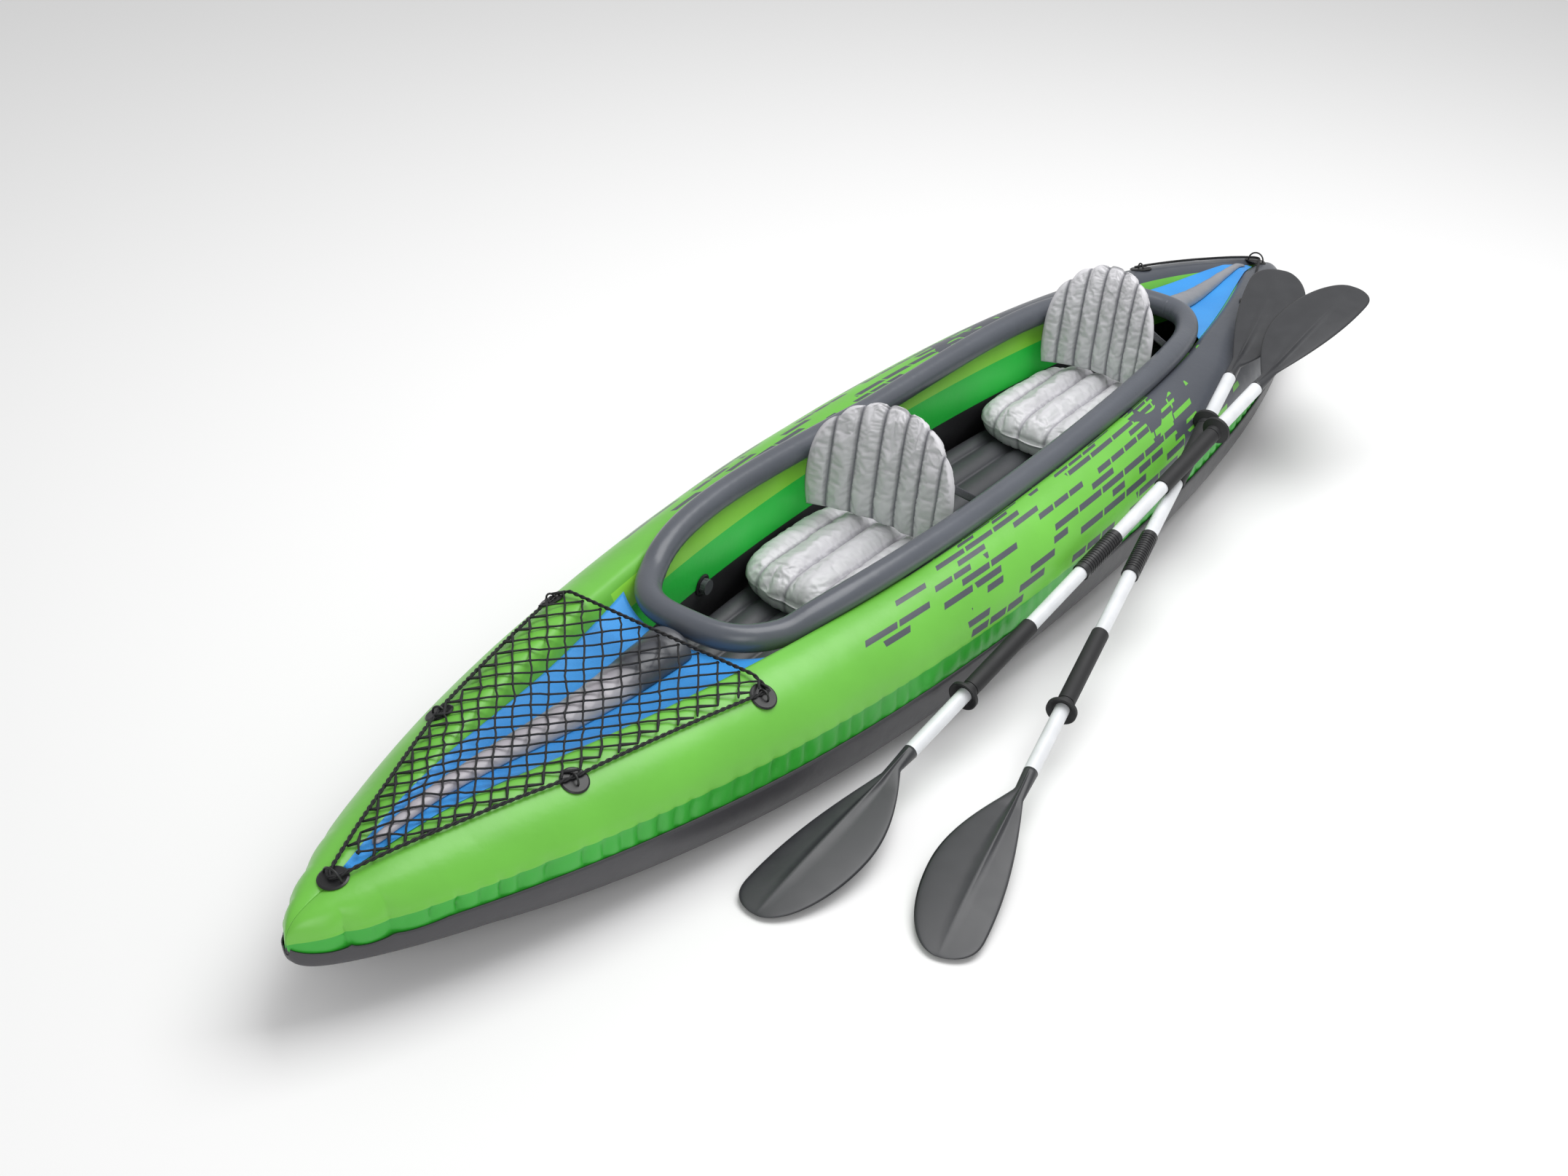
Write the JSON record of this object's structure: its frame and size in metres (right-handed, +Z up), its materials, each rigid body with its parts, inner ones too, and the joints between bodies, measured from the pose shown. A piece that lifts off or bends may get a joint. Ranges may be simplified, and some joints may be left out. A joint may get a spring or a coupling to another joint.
{
  "type": "inflatable tandem kayak",
  "caption": "Inflatable two-seat kayak with air-filled sides, coaming, netted bow deck, tilting backrests, screw valves and double-bladed paddles that lean on its side.",
  "frame": {"origin": "on the flat of the keel, amidships, at the height of the ground it rests on", "axes": "+X to the bow, +Y to port, +Z up"},
  "size_m": [3.5048, 1.1592, 0.4563],
  "materials": {
    "lime_pvc": "satin, coated PVC",
    "charcoal_pvc": "satin, coated PVC",
    "slate_pvc": "satin, coated PVC",
    "blue_cloth": "coated woven cloth",
    "black_cord": "braided cord",
    "black_patch": "matte, welded",
    "grey_pvc": "satin, coated PVC",
    "webbing": "woven webbing",
    "shaft_white": "gloss white on alloy tube",
    "ferrule_alloy": "drawn",
    "blade_plastic": "moulded, fine grain",
    "black_rubber": "matte",
    "black_plastic": "moulded",
    "cap_plastic": "moulded"
  },
  "bodies": {
    "hull": {"bottom_skin": "charcoal_pvc", "port_chamber": "lime_pvc", "starboard_chamber": "lime_pvc", "floor_chamber": "charcoal_pvc", "coaming": "slate_pvc", "bow_deck_sheet": "blue_cloth", "stern_deck_sheet": "blue_cloth", "bow_rib": "slate_pvc", "stern_rib": "slate_pvc", "cargo_net": "black_cord", "net_border_cord": "black_cord", "net_patches": "black_patch", "stern_grab_line": "black_cord", "stern_patches": "black_patch", "port_valve": "black_plastic", "starboard_valve": "black_plastic", "floor_valve": "black_plastic", "front_seat": "grey_pvc", "rear_seat": "grey_pvc", "strap_anchors": "black_patch", "front_port_strap": "webbing", "front_starboard_strap": "webbing", "rear_port_strap": "webbing", "rear_starboard_strap": "webbing"},
    "front_backrest": {"front_backrest": "grey_pvc"},
    "rear_backrest": {"rear_backrest": "grey_pvc"},
    "port_valve_cap": {"port_valve_cap": "cap_plastic"},
    "starboard_valve_cap": {"starboard_valve_cap": "cap_plastic"},
    "floor_valve_cap": {"floor_valve_cap": "cap_plastic"},
    "stern_paddle": {"stern_paddle_lower_shaft": "shaft_white", "stern_paddle_lower_blade": "blade_plastic", "stern_paddle_lower_grip": "black_rubber", "stern_paddle_coupling": "black_plastic"},
    "stern_paddle_upper": {"stern_paddle_upper_shaft": "shaft_white", "stern_paddle_upper_blade": "blade_plastic", "stern_paddle_upper_grip": "black_rubber", "stern_paddle_ferrule": "ferrule_alloy"},
    "stern_paddle_low_ring": {"stern_paddle_lower_drip_ring": "black_rubber"},
    "stern_paddle_high_ring": {"stern_paddle_upper_drip_ring": "black_rubber"},
    "bow_paddle": {"bow_paddle_lower_shaft": "shaft_white", "bow_paddle_lower_blade": "blade_plastic", "bow_paddle_lower_grip": "black_rubber", "bow_paddle_coupling": "black_plastic"},
    "bow_paddle_upper": {"bow_paddle_upper_shaft": "shaft_white", "bow_paddle_upper_blade": "blade_plastic", "bow_paddle_upper_grip": "black_rubber", "bow_paddle_ferrule": "ferrule_alloy"},
    "bow_paddle_low_ring": {"bow_paddle_lower_drip_ring": "black_rubber"},
    "bow_paddle_high_ring": {"bow_paddle_upper_drip_ring": "black_rubber"}
  },
  "joints": [
    {"name": "front_backrest_tilt", "type": "hinge", "parent": "hull", "child": "front_backrest", "pos_m": [0.045, 0, 0.22032], "axis": [0, 1, 0], "range_deg": [-12, 40], "deforming": ["front_port_strap", "front_starboard_strap"]},
    {"name": "rear_backrest_tilt", "type": "hinge", "parent": "hull", "child": "rear_backrest", "pos_m": [-0.855, 0, 0.224], "axis": [0, 1, 0], "range_deg": [-12, 40], "deforming": ["rear_port_strap", "rear_starboard_strap"]},
    {"name": "port_valve_cap_turn", "type": "hinge", "parent": "hull", "child": "port_valve_cap", "pos_m": [0.43, 0.18239, 0.148], "axis": [-0.0848, -0.9964, 0.0035], "range_deg": [0, 270]},
    {"name": "starboard_valve_cap_turn", "type": "hinge", "parent": "hull", "child": "starboard_valve_cap", "pos_m": [0.43, -0.18239, 0.148], "axis": [-0.0848, 0.9964, 0.0035], "range_deg": [0, 270]},
    {"name": "floor_valve_cap_turn", "type": "hinge", "parent": "hull", "child": "floor_valve_cap", "pos_m": [0.585, 0, 0.09507], "axis": [0, 0, 1], "range_deg": [0, 270]},
    {"name": "stern_paddle_lift", "type": "slide", "parent": "hull", "child": "stern_paddle", "axis": [0, 0, 1], "range_m": [0, 0.5]},
    {"name": "stern_paddle_feather", "type": "hinge", "parent": "stern_paddle", "child": "stern_paddle_upper", "pos_m": [-0.21159, 0.46341, 0.17567], "axis": [-0.9652, -0.2214, 0.1395], "range_deg": [0, 60]},
    {"name": "stern_paddle_low_ring_slide", "type": "slide", "parent": "stern_paddle", "child": "stern_paddle_low_ring", "axis": [0.9652, 0.2214, -0.1395], "range_m": [0, 0.15]},
    {"name": "stern_paddle_high_ring_slide", "type": "slide", "parent": "stern_paddle_upper", "child": "stern_paddle_high_ring", "axis": [-0.9652, -0.2214, 0.1395], "range_m": [0, 0.02]},
    {"name": "bow_paddle_lift", "type": "slide", "parent": "stern_paddle", "child": "bow_paddle", "axis": [0, 0, 1], "range_m": [0, 0.5]},
    {"name": "bow_paddle_feather", "type": "hinge", "parent": "bow_paddle", "child": "bow_paddle_upper", "pos_m": [-0.12861, 0.409, 0.196], "axis": [-0.9877, -0.0076, 0.1565], "range_deg": [0, 60]},
    {"name": "bow_paddle_low_ring_slide", "type": "slide", "parent": "bow_paddle", "child": "bow_paddle_low_ring", "axis": [0.9877, 0.0076, -0.1565], "range_m": [0, 0.15]},
    {"name": "bow_paddle_high_ring_slide", "type": "slide", "parent": "bow_paddle_upper", "child": "bow_paddle_high_ring", "axis": [-0.9877, -0.0076, 0.1565], "range_m": [0, 0.15]}
  ]
}
